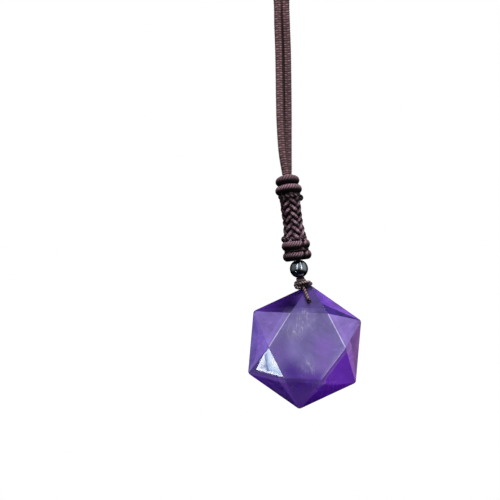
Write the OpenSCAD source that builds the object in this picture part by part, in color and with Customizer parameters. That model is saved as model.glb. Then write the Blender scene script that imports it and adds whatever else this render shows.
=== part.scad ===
// Crystal pendant on a braided neck cord, hanging as if from the back of a neck.
// Millimetres. X is to the right, Y goes away from the viewer, Z is up.
// The origin is where the cord's inner side lies on the back of the neck.

/* [Stone] */
// Distance from the middle of the stone to its six corners, before they are rounded
stone_r = 20.8; // [18:0.1:22]
// How far the corners reach once they are rounded off
corner_reach = 20.5; // [17.8:0.1:21.8]
// Thickness of the stone from its front table to its back table
stone_t = 10; // [8:0.5:12]
// Width of the narrow edge that runs around the stone
girdle_w = 1.2; // [0.8:0.1:2]
// Distance from the middle of the stone to its hole
hole_reach = 15.35; // [14:0.05:16]
// Diameter of the hole
hole_d = 1.6; // [1.5:0.1:2]
// How far the top corner leans to the right, in degrees
stone_lean = 5; // [0:1:10]

/* [Cord and thread] */
// Diameter of the braided neck cord
cord_d = 2.5; // [2:0.1:2.5]
// Diameter of the thread that carries the bead and the stone
thread_d = 0.84; // [0.6:0.02:0.84]
// Size of the knot that closes the thread, across
knot_d = 3.4; // [3:0.1:3.8]
// Height of that knot
knot_h = 1.9; // [1.5:0.1:2]

/* [Sleeve and wraps] */
// Length of the woven sleeve
sleeve_l = 15.9; // [12:0.1:15.9]
// Bore of the sleeve and the upper wraps, around the two strands
sleeve_bore = 5.3; // [5.2:0.1:5.6]
// Bore of the lower wraps, around the bight of the cord
bight_bore = 6.2; // [6.1:0.1:6.6]
// Height of one turn of a wrap
wrap_h = 2.84; // [2.2:0.02:2.84]
// Lean of the sleeve, its lower end to the right, in degrees
sleeve_lean = 7.5; // [0:0.5:12]

/* [Bead] */
// Diameter of the round bead
bead_d = 6.1; // [5.5:0.1:6.1]
// Diameter of its hole, for both legs of the thread
bead_bore = 2.1; // [2:0.1:2.4]

/* [Hidden] */

cord_r = cord_d / 2;
thread_r = thread_d / 2;
tube_sides = 8;
round_fn = 64;
small_fn = 32;
rounding_fn = 96;

// Places: the sleeve's upper end, the stone's middle and the knot's middle
sleeve_top = [8, 0, -296];
stone_mid = [14, 0, -353.3];
knot_mid = [12.9, 0, -331.77];
knot_lean = 15;
stone_hole = stone_mid + hole_reach * [sin(stone_lean), 0, cos(stone_lean)];

// Stack along the sleeve's axis, as distances down from its upper end
upper_wrap_pitch = 3.33;
sleeve_down = 6.25;
lower_wrap_down = 22.2;
lower_wrap_pitch = 3.5;
bead_mid_down = 31.55;

// Outer radii of the four wrap turns, from the top
upper_wrap_r = [4, 4.45];
lower_wrap_r = [4.75, 4.8];

// Outline of the sleeve: share of its length from the top, radius
sleeve_profile = [[0, 3.55], [0.12, 3.5], [0.3, 3.45], [0.5, 3.3], [0.62, 3.25],
                  [0.75, 3.5], [0.9, 3.85], [1, 3.95]];

// Corners of the table: angle from the stone's top corner, distance from its middle
table_cut = [[29, 13.6], [85, 13.4], [149, 12], [209, 12.2], [266, 12], [332, 12.5]];

// Neck cord: points chosen by hand along its middle, from the sleeve upwards
front_strand = [[7.7, -1.3, -295], [6.7, -1.2, -289], [6.2, -1.1, -283], [5.9, -0.9, -277],
                [5.75, -0.7, -270], [5.65, -0.4, -262], [5.5, -0.2, -254], [5.2, 0, -246],
                [5, 0, -238]];
back_strand = [[8.4, 1.3, -295], [8.4, 1.2, -289], [8.4, 1.1, -283], [8.4, 0.9, -277],
               [8.35, 0.7, -270], [8.25, 0.4, -262], [8.1, 0.2, -254], [7.8, 0, -246],
               [7.6, 0, -238]];
// Half of the loop around the neck: half its width, height
neck_half = [[2.2, -230], [3.7, -222], [6.2, -212], [9.5, -200], [14, -185], [18.5, -170],
             [23, -155], [27.5, -140], [32, -125], [36.5, -110], [41, -95], [45.5, -80],
             [49.8, -66], [52, -51], [50.2, -37.3], [45, -24.8], [36.8, -14], [26, -5.7],
             [13.5, -0.5]];
neck_top = [0, 0, cord_r];
// Sideways drift of the loop's middle line for each millimetre of height
neck_drift = -6.25 / 238;

// Two strands in the sleeve: distance down, turn about the axis, distance from it
strand_pair = [[1, 86, 1.3], [5, 70, 1.3], [9, 52, 1.3], [13, 34, 1.3], [17, 16, 1.3],
               [20.5, 3, 1.3], [22.2, 0, 1.36], [23.6, 0, 1.6]];
bight_down = 25;
bight_r = 1.75;
bight_turns = [0, 30, 60];

// Upper loop of the thread, beside the sleeve's axis: distance from it, distance down
bight_loop = [[0.75, 25], [1.4, 25.6], [1.76, 26.7], [1.6, 27.4], [1.2, 28.05],
              [0.62, 28.4], [0.46, 28.9], [0.46, 31.5], [0.46, 34.2]];
bight_loop_top = 24.9;
knot_entry = [[0.46, -0.9], [0.46, -0.25]];

// Lower loop of the thread: distance up from the hole towards the knot, distance to the front
// or the back
stone_loop = [[0, 1.4], [0, 2.7], [0.25, 3.45], [0.9, 3.75], [1.8, 3.5], [2.8, 3.1],
              [3.6, 2.65], [4.3, 2.2], [5, 1.75], [5.6, 1.35], [6, 1.1]];
leg_lean = 21;

// Sockets in the knot: a round one from above for the upper loop, and one for each lower leg,
// from and to a distance up from the hole and a distance to the front or the back
knot_socket_d = 2;
knot_socket_lift = 0.1;
socket_d = 1.04;
leg_socket = [[5.3, 1.57], [6.15, 1.01]];

// The knot's two tails
tail_r = 0.57;
tail_end_r = 0.62;

function unit(v) = v / norm(v);
function reversed(list) = [for (i = [len(list) - 1:-1:0]) list[i]];

// A point at right, front-to-back and down distances from the sleeve's upper end
function on_sleeve(p) = sleeve_top + [p.x * cos(sleeve_lean) + p.z * sin(sleeve_lean), p.y,
                                      p.x * sin(sleeve_lean) - p.z * cos(sleeve_lean)];
function on_knot(p) = knot_mid + [p.x * cos(knot_lean) + p.z * sin(knot_lean), p.y,
                                  p.x * sin(knot_lean) - p.z * cos(knot_lean)];
function on_leg(up, out) = stone_hole + [-up * sin(leg_lean), out, up * cos(leg_lean)];
function on_neck(side, row) = [side * row[0] + neck_drift * row[1], 0, row[1]];

// One strand from the bight up to the sleeve's mouth; side is -1 for the front strand
function strand_in_sleeve(side) =
    [for (row = reversed(strand_pair))
        on_sleeve([side * row[2] * cos(row[1]), side * row[2] * sin(row[1]), row[0]])];
function bight_side(side) =
    [for (turn = reversed(bight_turns))
        on_sleeve([side * bight_r * cos(turn), 0, bight_down + bight_r * sin(turn)])];
function neck_side(side) = [for (row = neck_half) on_neck(side, row)];

cord_route = concat(
    [on_sleeve([0, 0, bight_down + bight_r])],
    bight_side(-1), strand_in_sleeve(-1), front_strand, neck_side(-1),
    [neck_top],
    reversed(concat(bight_side(1), strand_in_sleeve(1), back_strand, neck_side(1))));

function upper_leg(side) = concat(
    [for (row = bight_loop) on_sleeve([0, side * row[0], row[1]])],
    [for (row = knot_entry) on_knot([0, side * row[0], row[1]])]);
upper_route = concat(reversed(upper_leg(-1)), [on_sleeve([0, 0, bight_loop_top])],
                     upper_leg(1));

function lower_leg(side) = [for (row = stone_loop) on_leg(row[0], side * row[1])];
lower_route = concat(reversed(lower_leg(-1)), [stone_hole], lower_leg(1));

// Rings of a tube swept along a route. Its frame starts from the side vector.
function tangents(route, closed) =
    let (n = len(route))
    [for (i = [0:n - 1])
        unit(route[closed ? (i + 1) % n : min(i + 1, n - 1)]
             - route[closed ? (i + n - 1) % n : max(i - 1, 0)])];
function ring(centre, along, side, r) =
    let (u = unit(side - (side * along) * along), v = cross(along, u))
    [for (k = [0:tube_sides - 1])
        let (a = 360 * (k + 0.5) / tube_sides) centre + r * (cos(a) * u + sin(a) * v)];

module swept_tube(route, r, side, closed = false) {
    n = len(route);
    m = tube_sides;
    along = tangents(route, closed);
    points = [for (i = [0:n - 1]) each ring(route[i], along[i], side, r)];
    walls = [for (i = [0:n - (closed ? 1 : 2)], k = [0:m - 1])
        let (j = (i + 1) % n, l = (k + 1) % m)
        each [[i * m + k, j * m + k, j * m + l], [i * m + k, j * m + l, i * m + l]]];
    ends = closed ? [] : [[for (k = [0:m - 1]) k], [for (k = [m - 1:-1:0]) (n - 1) * m + k]];
    polyhedron(points, concat(walls, ends));
}

module at_sleeve(down) {
    translate(sleeve_top) rotate([0, -sleeve_lean, 0]) translate([0, 0, -down]) children();
}

module rod(from, to, r) {
    span = to - from;
    translate(from)
        rotate([0, acos(span.z / norm(span)), atan2(span.y, span.x)])
            cylinder(h = norm(span), r = r, $fn = small_fn);
}

// One turn of wrap: a round cord pressed flat where it lies on the strands
module wrap_turn(outer_r, bore_d) {
    rotate_extrude($fn = round_fn)
        intersection() {
            translate([outer_r - wrap_h / 2, 0]) circle(d = wrap_h, $fn = small_fn);
            translate([bore_d / 2, -wrap_h]) square([outer_r, 2 * wrap_h]);
        }
}

module neck_cord() {
    color("#4a3335") swept_tube(cord_route, cord_r, [0, 1, 0], closed = true);
}

module upper_wrap(turn) {
    color("#54393c")
        at_sleeve(wrap_h / 2 + turn * upper_wrap_pitch) wrap_turn(upper_wrap_r[turn], sleeve_bore);
}

module woven_sleeve() {
    color("#4a3335")
        at_sleeve(sleeve_down)
            rotate_extrude($fn = round_fn)
                polygon(concat(
                    [for (row = sleeve_profile) [row[1], -row[0] * sleeve_l]],
                    [[sleeve_bore / 2, -sleeve_l], [sleeve_bore / 2, 0]]));
}

module lower_wrap(turn) {
    color("#54393c")
        at_sleeve(lower_wrap_down + wrap_h / 2 + turn * lower_wrap_pitch)
            wrap_turn(lower_wrap_r[turn], bight_bore);
}

module bead_thread() {
    color("#735a50") swept_tube(upper_route, thread_r, [1, 0, 0]);
}

module bead() {
    color("#2c3036")
        at_sleeve(bead_mid_down)
            difference() {
                sphere(d = bead_d, $fn = round_fn);
                cylinder(h = 2 * bead_d, d = bead_bore, center = true, $fn = round_fn);
            }
}

// The knot's body, a ball cut flat above and below
module knot_bun() {
    intersection() {
        sphere(d = knot_d, $fn = round_fn);
        cylinder(h = knot_h, d = 2 * knot_d, center = true, $fn = round_fn);
    }
}

// The two short tails that cross the front of the knot; their ends and bends are a little fuller
module knot_tails() {
    middle = [13, -1.5, -331.6];
    right_end = [16.3, -2, -332.2];
    left_bend = [11.2, -1.85, -332];
    left_end = [11.7, -1.85, -333.2];
    for (span = [[middle, right_end], [middle, left_bend], [left_bend, left_end]])
        rod(span[0], span[1], tail_r);
    for (at = [middle, right_end, left_bend, left_end])
        translate(at) sphere(r = tail_end_r, $fn = small_fn);
}

module tie_knot() {
    color("#7d6355")
        difference() {
            union() {
                translate(knot_mid) rotate([0, -knot_lean, 0]) knot_bun();
                knot_tails();
            }
            translate(knot_mid) rotate([0, -knot_lean, 0])
                translate([0, 0, knot_socket_lift])
                    cylinder(h = knot_h, d = knot_socket_d, $fn = small_fn);
            for (side = [-1, 1])
                rod(on_leg(leg_socket[0][0], side * leg_socket[0][1]),
                    on_leg(leg_socket[1][0], side * leg_socket[1][1]), socket_d / 2);
        }
}

module stone_thread() {
    color("#735a50") swept_tube(lower_route, thread_r, [1, 0, 0]);
}

// Six-sided stone with a six-sided table on each face, turned so that a table's edge faces
// each corner; triangles join the two
module cut_stone() {
    corners = [for (k = [0:5]) stone_r * [sin(60 * k), cos(60 * k)]];
    table = [for (row = table_cut) row[1] * [sin(row[0]), cos(row[0])]];
    layers = [[table, -stone_t / 2], [corners, -girdle_w / 2], [corners, girdle_w / 2],
              [table, stone_t / 2]];
    points = [for (layer = layers, p = layer[0]) [p.x, layer[1], p.y]];
    front_crown = [for (k = [0:5])
        let (next = (k + 1) % 6, last = (k + 5) % 6)
        each [[k, 6 + k, 6 + next], [last, 6 + k, k]]];
    back_crown = [for (k = [0:5])
        let (next = (k + 1) % 6, last = (k + 5) % 6)
        each [[18 + k, 12 + next, 12 + k], [18 + last, 18 + k, 12 + k]]];
    girdle = [for (k = [0:5]) let (next = (k + 1) % 6) [6 + k, 12 + k, 12 + next, 6 + next]];
    tables = [[0, 1, 2, 3, 4, 5], [23, 22, 21, 20, 19, 18]];
    polyhedron(points, concat(front_crown, back_crown, girdle, tables));
}

module stone() {
    color("#6a3cab")
        translate(stone_mid) rotate([0, stone_lean, 0])
            difference() {
                intersection() {
                    cut_stone();
                    rotate([90, 0, 0])
                        cylinder(h = 2 * stone_t, r = corner_reach, center = true, $fn = rounding_fn);
                }
                translate([0, 0, hole_reach]) rotate([90, 0, 0])
                    cylinder(h = 2 * stone_t, d = hole_d, center = true, $fn = round_fn);
            }
}

neck_cord();
upper_wrap(0);  // upper_wrap_1
upper_wrap(1);  // upper_wrap_2
woven_sleeve();
lower_wrap(0);  // lower_wrap_1
lower_wrap(1);  // lower_wrap_2
bead_thread();
bead();
tie_knot();
stone_thread();
stone();
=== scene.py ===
"""Crystal pendant on a braided neck cord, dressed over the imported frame."""

import math

import bmesh
import bpy
import numpy as np
from mathutils import Matrix, Vector
from mathutils.geometry import delaunay_2d_cdt


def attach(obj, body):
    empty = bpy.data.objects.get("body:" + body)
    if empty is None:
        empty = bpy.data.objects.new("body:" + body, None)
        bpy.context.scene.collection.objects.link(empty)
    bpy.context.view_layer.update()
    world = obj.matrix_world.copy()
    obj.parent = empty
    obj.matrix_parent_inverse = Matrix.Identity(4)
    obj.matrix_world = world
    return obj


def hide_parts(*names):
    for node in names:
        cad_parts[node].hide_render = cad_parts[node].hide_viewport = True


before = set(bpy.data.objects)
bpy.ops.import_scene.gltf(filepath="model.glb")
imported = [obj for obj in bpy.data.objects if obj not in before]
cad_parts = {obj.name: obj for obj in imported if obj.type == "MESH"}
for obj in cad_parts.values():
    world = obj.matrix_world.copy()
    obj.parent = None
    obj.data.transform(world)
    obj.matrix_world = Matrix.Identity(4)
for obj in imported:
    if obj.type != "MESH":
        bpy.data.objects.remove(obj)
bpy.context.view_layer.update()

# Sizes in millimetres; MM turns them into the frame's metres
MM = 0.001
CORD_R = 1.25
WRAP_R = 1.42
SLEEVE_L = 15.9
SLEEVE_DOWN = 6.25
UPPER_BORE_R = 2.65
LOWER_BORE_R = 3.1
BEAD_R = 3.05
BEAD_BORE_R = 1.05
BEAD_DOWN = 31.55
STONE_R = 20.8
STONE_T = 10
GIRDLE_W = 1.2
HOLE_REACH = 15.35
HOLE_D = 1.6
# Two corners of a mesh nearer than this are one
SAME_PLACE = 0.0005

# Lean of the sleeve, the knot, the thread's lower loop and the stone
SLEEVE_LEAN = math.radians(7.5)
KNOT_LEAN = math.radians(15)
LEG_LEAN = math.radians(21)
STONE_LEAN = math.radians(5)

# Places in the frame
SLEEVE_TOP = np.array([8, 0, -296.0])
KNOT_MID = np.array([12.9, 0, -331.77])
STONE_MID = np.array([14, 0, -353.3])
STONE_HOLE = STONE_MID + HOLE_REACH * np.array([math.sin(STONE_LEAN), 0, math.cos(STONE_LEAN)])

# Outer shape of the sleeve: share of its length from the top, radius
SLEEVE_PROFILE = (
    (0, 3.55), (0.12, 3.5), (0.3, 3.45), (0.5, 3.3), (0.62, 3.25), (0.75, 3.5), (0.9, 3.85), (1, 3.95),
)
# Corners of the stone's table: degrees clockwise from its top, distance from its middle
TABLE_CUT = ((29, 13.6), (85, 13.4), (149, 12), (209, 12.2), (266, 12), (332, 12.5))

# Neck cord: places along its middle, from the sleeve upwards
FRONT_STRAND = [
    (7.7, -1.3, -295), (6.7, -1.2, -289), (6.2, -1.1, -283), (5.9, -0.9, -277), (5.75, -0.7, -270),
    (5.65, -0.4, -262), (5.5, -0.2, -254), (5.2, 0, -246), (5, 0, -238),
]
BACK_STRAND = [
    (8.4, 1.3, -295), (8.4, 1.2, -289), (8.4, 1.1, -283), (8.4, 0.9, -277), (8.35, 0.7, -270),
    (8.25, 0.4, -262), (8.1, 0.2, -254), (7.8, 0, -246), (7.6, 0, -238),
]
# Half of the loop around the neck: half its width, height
NECK_HALF = [
    (2.2, -230), (3.7, -222), (6.2, -212), (9.5, -200), (14, -185), (18.5, -170), (23, -155), (27.5, -140),
    (32, -125), (36.5, -110), (41, -95), (45.5, -80), (49.8, -66), (52, -51), (50.2, -37.3), (45, -24.8),
    (36.8, -14), (26, -5.7), (13.5, -0.5),
]
# Sideways drift of the loop's middle line for each millimetre of height
NECK_DRIFT = -6.25 / 238
# Two strands in the sleeve: distance down, degrees around its axis, distance from it
STRAND_PAIR = [
    (1, 86, 1.3), (5, 70, 1.3), (9, 52, 1.3), (13, 34, 1.3), (17, 16, 1.3), (20.5, 3, 1.3), (22.2, 0, 1.36),
    (23.6, 0, 1.6),
]
# The bight at their lower end
BIGHT_DOWN = 25
BIGHT_R = 1.75
BIGHT_TURNS = (0, 30, 60)

# Upper loop of the thread: distance from the sleeve's axis, distance down
BIGHT_LOOP = [
    (0.75, 25), (1.4, 25.6), (1.76, 26.7), (1.6, 27.4), (1.2, 28.05), (0.62, 28.4), (0.46, 28.9),
    (0.46, 31.5), (0.46, 34.2),
]
BIGHT_LOOP_TOP = 24.9
# Its ends in the knot: distance from the knot's axis, distance down
KNOT_ENTRY = [(0.46, -0.9), (0.46, -0.25)]
# Lower loop of the thread: distance up from the hole towards the knot, distance to the front
STONE_LOOP = [
    (0, 1.2), (0.1, 2.2), (0.28, 3.1), (0.5, 3.65), (1.1, 3.85), (1.8, 3.5), (2.8, 3.1), (3.6, 2.65),
    (4.3, 2.2), (5, 1.75), (5.6, 1.35), (6, 1.1),
]


# Places on the pendant
def leaning(origin, lean, x, y, down):
    """A point at right, front-to-back and down distances from a place whose axis leans."""
    right = x * math.cos(lean) + down * math.sin(lean)
    up = x * math.sin(lean) - down * math.cos(lean)
    return origin + np.array([right, y, up])


def on_sleeve(x, y, down):
    return leaning(SLEEVE_TOP, SLEEVE_LEAN, x, y, down)


def on_knot(x, y, down):
    return leaning(KNOT_MID, KNOT_LEAN, x, y, down)


def on_leg(up, out):
    return leaning(STONE_HOLE, LEG_LEAN, 0, out, -up)


def on_stone(x, y, up):
    return leaning(STONE_MID, -STONE_LEAN, x, y, -up)


def around_sleeve(turn, radius, down):
    """A point around the sleeve's axis; turn is 0 at the front and grows to the right, in radians."""
    return on_sleeve(radius * math.sin(turn), -radius * math.cos(turn), down)


# Curves
def distances_along(line):
    return np.concatenate([[0], np.cumsum(np.linalg.norm(np.diff(line, axis=0), axis=1))])


def unit_rows(v):
    return v / np.linalg.norm(v, axis=1)[:, None]


def smooth_line(points, closed, step):
    """A smooth curve through the points, cut into equal steps."""
    p = np.array(points, float)
    if closed:
        p = np.vstack([p[-1], p, p[0], p[1]])
    else:
        p = np.vstack([2 * p[0] - p[1], p, 2 * p[-1] - p[-2]])
    pieces = []
    for i in range(1, len(p) - 2):
        a, b, c, d = p[i - 1], p[i], p[i + 1], p[i + 2]
        gaps = [max(math.sqrt(np.linalg.norm(v)), 1e-6) for v in (b - a, c - b, d - c)]
        t = np.linspace(0, 1, max(4, int(np.linalg.norm(c - b) / step)), endpoint=False)[:, None]
        slope_b = gaps[1] * ((b - a) / gaps[0] - (c - a) / (gaps[0] + gaps[1]) + (c - b) / gaps[1])
        slope_c = gaps[1] * ((c - b) / gaps[1] - (d - b) / (gaps[1] + gaps[2]) + (d - c) / gaps[2])
        pieces.append(
            (2 * t**3 - 3 * t**2 + 1) * b + (t**3 - 2 * t**2 + t) * slope_b
            + (3 * t**2 - 2 * t**3) * c + (t**3 - t**2) * slope_c
        )
    line = np.vstack(pieces + [p[-2][None, :]])
    far = distances_along(line)
    even = np.linspace(0, far[-1], int(far[-1] / step) + 2)
    return np.stack([np.interp(even, far, line[:, k]) for k in range(3)], axis=1)


def untwisted_side(along, far, closed):
    """A cross direction that doesn't twist about the path, or on a closed one just enough to meet itself."""
    side = np.empty_like(along)
    now = np.array([0.0, -1.0, 0.0])
    for i, direction in enumerate(along):
        now = now - now.dot(direction) * direction
        now = now / np.linalg.norm(now)
        side[i] = now
    if closed:
        other = np.cross(along[-1], side[-1])
        turn = math.atan2(side[0].dot(other), side[0].dot(side[-1]))
        turns = turn * far / far[-1]
        side = side * np.cos(turns)[:, None] + np.cross(along, side) * np.sin(turns)[:, None]
    return side


def lay_path(points, closed=False, facing=None, step=0.05):
    """A path with its length and two cross directions, the first of which facing gives where it is set."""
    line = smooth_line(points, closed, step)
    far = distances_along(line)
    along = np.gradient(line, axis=0)
    if closed:
        along[0] = along[-1] = line[1] - line[-2]
    along = unit_rows(along)
    if facing is None:
        side = untwisted_side(along, far, closed)
    else:
        side = facing(line)
        side = unit_rows(side - (side * along).sum(1)[:, None] * along)
    across = np.cross(along, side)
    return {"line": line, "far": far, "length": far[-1], "side": side, "across": across, "closed": closed}


def along_path(path, far):
    """Middle, first and second cross direction of a path at these distances along it."""
    if path["closed"]:
        far = far % path["length"]
    else:
        far = np.clip(far, 0, path["length"])
    return [
        np.stack([np.interp(far, path["far"], path[name][:, k]) for k in range(3)], axis=1)
        for name in ("line", "side", "across")
    ]


# Meshes: how many sides a cord has, and rows along each of its ribs
CORD_SIDES = 24
THREAD_SIDES = 16
PLAIT_SIDES = 14
RIB_ROWS = 3


def add_object(name, data):
    thing = bpy.data.objects.new(name, data)
    bpy.context.scene.collection.objects.link(thing)
    return thing


def add_piece(name, bm, *materials):
    mesh = bpy.data.meshes.new(name)
    bm.to_mesh(mesh)
    bm.free()
    for material in materials:
        mesh.materials.append(material)
    return add_object(name, mesh)


def hide_from(thing, *rays):
    """Hides a thing from the camera or from some kinds of rays."""
    for ray in rays:
        setattr(thing, f"visible_{ray}", False)


def finish_piece(name, bm, body, nodes, material):
    """A mesh becomes a piece that rides on a body and stands for its nodes."""
    bmesh.ops.recalc_face_normals(bm, faces=bm.faces)
    for face in bm.faces:
        face.smooth = True
    piece = add_piece(name, bm, material)
    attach(piece, body)
    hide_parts(*nodes)
    return piece


def stage_piece(name, bm, material, *hidden):
    """A mesh becomes a thing of the room, not of the pendant."""
    piece = add_piece(name, bm, material)
    hide_from(piece, "diffuse", "transmission", *hidden)


def sweep(bm, path, sides, rows, section):
    """Adds a cord to bm: a sheet rolled into a tube along a path. From a corner's place around and along,
    section gives its two cross distances, its slide along the path and its height in the weave, whose low
    values the yarn's colour turns into painted shade and its high values into painted highlight."""
    sheet = bmesh.new()
    sheet.loops.layers.uv.new("UVMap")
    bmesh.ops.create_grid(sheet, x_segments=sides, y_segments=rows, size=0.5, calc_uvs=True)
    mesh = bpy.data.meshes.new("sheet")
    sheet.to_mesh(mesh)
    sheet.free()
    co = np.empty(len(mesh.vertices) * 3)
    mesh.vertices.foreach_get("co", co)
    co = co.reshape(-1, 3)
    around = co[:, 0] + 0.5
    far = (co[:, 1] + 0.5) * path["length"]
    side, across, slide, height = section(around, far)
    middle, u, v = along_path(path, far + slide)
    co = (middle + side[:, None] * u + across[:, None] * v) * MM
    mesh.vertices.foreach_set("co", co.ravel())
    mesh.attributes.new("height", "FLOAT", "POINT").data.foreach_set("value", np.clip(height, 0, 1))
    tube = bmesh.new()
    tube.from_mesh(mesh)
    bpy.data.meshes.remove(mesh)
    bmesh.ops.remove_doubles(tube, verts=tube.verts, dist=SAME_PLACE * MM)
    joined = bpy.data.meshes.new("tube")
    tube.to_mesh(joined)
    tube.free()
    bm.from_mesh(joined)
    bpy.data.meshes.remove(joined)


def domed(path, far, reach):
    """How full a cord is near its two rounded ends."""
    near = np.clip(np.minimum(far, path["length"] - far) / reach, 0, 1)
    return np.sqrt(np.clip(1 - (1 - near) ** 2, 0, 1))


def ribs(far, pitch):
    """Height of ribs across a cord, 0 in their grooves and 1 on their crests."""
    stroke = (far / pitch) % 1
    return np.clip(3 * np.minimum(stroke, 1 - stroke), 0, 1)


# Materials: an output's id_data is the tree of nodes that it belongs to
def new_material(name):
    material = bpy.data.materials.new(name)
    material.use_nodes = True
    return material, material.node_tree, material.node_tree.nodes["Principled BSDF"]


def set_inputs(node, inputs):
    """Sets a node's inputs to values or to the outputs of other nodes."""
    for key, value in inputs.items():
        if isinstance(value, bpy.types.NodeSocket):
            node.id_data.links.new(value, node.inputs[key])
        else:
            node.inputs[key].default_value = value


def add_node(tree, kind, inputs=None, **settings):
    node = tree.nodes.new("ShaderNode" + kind)
    for key, value in settings.items():
        setattr(node, key, value)
    set_inputs(node, inputs or {})
    return node


def noise(place, **inputs):
    """A noise pattern; inputs are its scale, detail, roughness and distortion."""
    settings = {key.capitalize(): value for key, value in inputs.items()}
    return add_node(place.id_data, "TexNoise", {"Vector": place, **settings}).outputs["Fac"]


def ramp(factor, stops):
    """A colour ramp from a factor; stops are places and colours or single values."""
    node = add_node(factor.id_data, "ValToRGB", {"Fac": factor})
    elements = node.color_ramp.elements
    while len(elements) < len(stops):
        elements.new(0.5)
    for element, (place, colour) in zip(elements, stops):
        element.position = place
        element.color = (*colour, 1) if hasattr(colour, "__len__") else (colour, colour, colour, 1)
    return node.outputs["Color"]


def mix_colour(factor, first, second, blend="MIX"):
    tree = first.id_data
    node = add_node(tree, "Mix", data_type="RGBA", blend_type=blend)
    for key, value in (("Factor_Float", factor), ("A_Color", first), ("B_Color", second)):
        socket = next(s for s in node.inputs if s.identifier == key)
        if isinstance(value, bpy.types.NodeSocket):
            tree.links.new(value, socket)
        elif hasattr(value, "__len__"):
            socket.default_value = (*value, 1)
        else:
            socket.default_value = value
    return next(s for s in node.outputs if s.identifier == "Result_Color")


def multiply(first, second):
    return mix_colour(1.0, first, second, "MULTIPLY")


def fibre_material(name, groove, stroke, crest, sheen_tint, stretch, shade=(0.25, 0.7)):
    """Waxed or silky yarn with fine fibres along it, coloured by its height in the weave: painted shade
    in its grooves, lighter on its strokes, and a painted highlight on its crests.
    shade gives the heights where the grooves end and the strokes begin."""
    material, tree, shader = new_material(name)
    places = add_node(tree, "TexCoord").outputs
    height = add_node(tree, "Attribute", attribute_name="height").outputs["Fac"]
    fibres = add_node(tree, "Mapping", {"Vector": places["UV"], "Scale": stretch}).outputs["Vector"]
    strands = noise(fibres, scale=1.0, detail=3.0)
    patches = noise(places["Object"], scale=260.0, detail=3.0, roughness=0.6)
    weave = ramp(height, [(shade[0], groove), (shade[1], stroke), (1.0, crest)])
    worn = ramp(patches, [(0.3, 0.72), (0.7, 1.12)])
    fine = ramp(strands, [(0.3, 0.8), (0.7, 1.15)])
    bump = add_node(tree, "Bump", {"Height": strands, "Strength": 0.35, "Distance": 0.00006})
    set_inputs(shader, {
        "Base Color": multiply(multiply(weave, worn), fine),
        "Roughness": ramp(strands, [(0.3, 0.62), (0.7, 0.42)]),
        "Specular IOR Level": 0.3,
        "Sheen Weight": 0.1,
        "Sheen Roughness": 0.4,
        "Sheen Tint": (*sheen_tint, 1),
        "Normal": bump.outputs["Normal"],
    })
    return material


cord_yarn = fibre_material(
    "braided_cord",
    groove=(0.006, 0.003, 0.004), stroke=(0.235, 0.122, 0.135), crest=(0.54, 0.325, 0.36),
    sheen_tint=(0.8, 0.62, 0.66), stretch=(90, 2600, 1), shade=(0.2, 0.8),
)
wrap_yarn = fibre_material(
    "wrap_cord",
    groove=(0.01, 0.005, 0.007), stroke=(0.118, 0.062, 0.08), crest=(0.185, 0.112, 0.144),
    sheen_tint=(0.85, 0.62, 0.7), stretch=(90, 160, 1),
)
sleeve_yarn = fibre_material(
    "sleeve_cord",
    groove=(0.003, 0.001, 0.002), stroke=(0.12, 0.06, 0.082), crest=(0.59, 0.4, 0.49),
    sheen_tint=(0.8, 0.65, 0.66), stretch=(120, 24, 1), shade=(0.42, 0.75),
)
thread_yarn = fibre_material(
    "waxed_thread",
    groove=(0.014, 0.007, 0.009), stroke=(0.085, 0.045, 0.048), crest=(0.23, 0.145, 0.145),
    sheen_tint=(0.9, 0.72, 0.72), stretch=(60, 160, 1), shade=(0.18, 0.6),
)
# Painted light: the knot's thread is the waxed thread again, given lighter tones to stand in for light on
# the knot in the bead's shadow
knot_yarn_painted_lighter = fibre_material(
    "knotted_thread_painted_lighter",
    groove=(0.03, 0.017, 0.019), stroke=(0.21, 0.138, 0.15), crest=(0.36, 0.275, 0.29),
    sheen_tint=(0.9, 0.78, 0.74), stretch=(60, 160, 1), shade=(0.1, 0.65),
)


# Neck cord: a round braid a little fuller than its solid, so that its ribs stand proud
BRAID_R = 1.4
BRAID_COLUMNS = 6
BRAID_SLANT = 0.2
BRAID_DEPTH = 0.16
BRAID_RIB = 0.78
# Shade between the two strands: its top, the height in which it comes in, its deepest place and reach there
CREVICE_TOP = -225
CREVICE_FADE = 15
CREVICE_MIDDLE = -257
CREVICE_REACH = 9


def strand_in_sleeve(side):
    rows = [(down, math.radians(turn), side * out) for down, turn, out in reversed(STRAND_PAIR)]
    return [on_sleeve(out * math.cos(a), out * math.sin(a), down) for down, a, out in rows]


def bight_side(side):
    turns = [math.radians(turn) for turn in reversed(BIGHT_TURNS)]
    return [on_sleeve(side * BIGHT_R * math.cos(a), 0, BIGHT_DOWN + BIGHT_R * math.sin(a)) for a in turns]


def neck_side(side):
    return [(side * half + NECK_DRIFT * height, 0, height) for half, height in NECK_HALF]


def strand_crevice(path, around, far):
    """The sides that the two strands turn to each other lie in shade."""
    middle, u, v = along_path(path, far)
    angle = 2 * np.pi * around
    to_right = np.cos(angle) * u[:, 0] + np.sin(angle) * v[:, 0]
    inwards = np.where(far < path["length"] / 2, to_right, -to_right)
    together = np.clip((CREVICE_TOP - middle[:, 2]) / CREVICE_FADE, 0, 1)
    deep = 0.5 + 0.5 * np.exp(-(((middle[:, 2] - CREVICE_MIDDLE) / CREVICE_REACH) ** 2))
    return together * deep * np.clip((inwards - 0.5) / 0.35, 0, 1)


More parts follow.
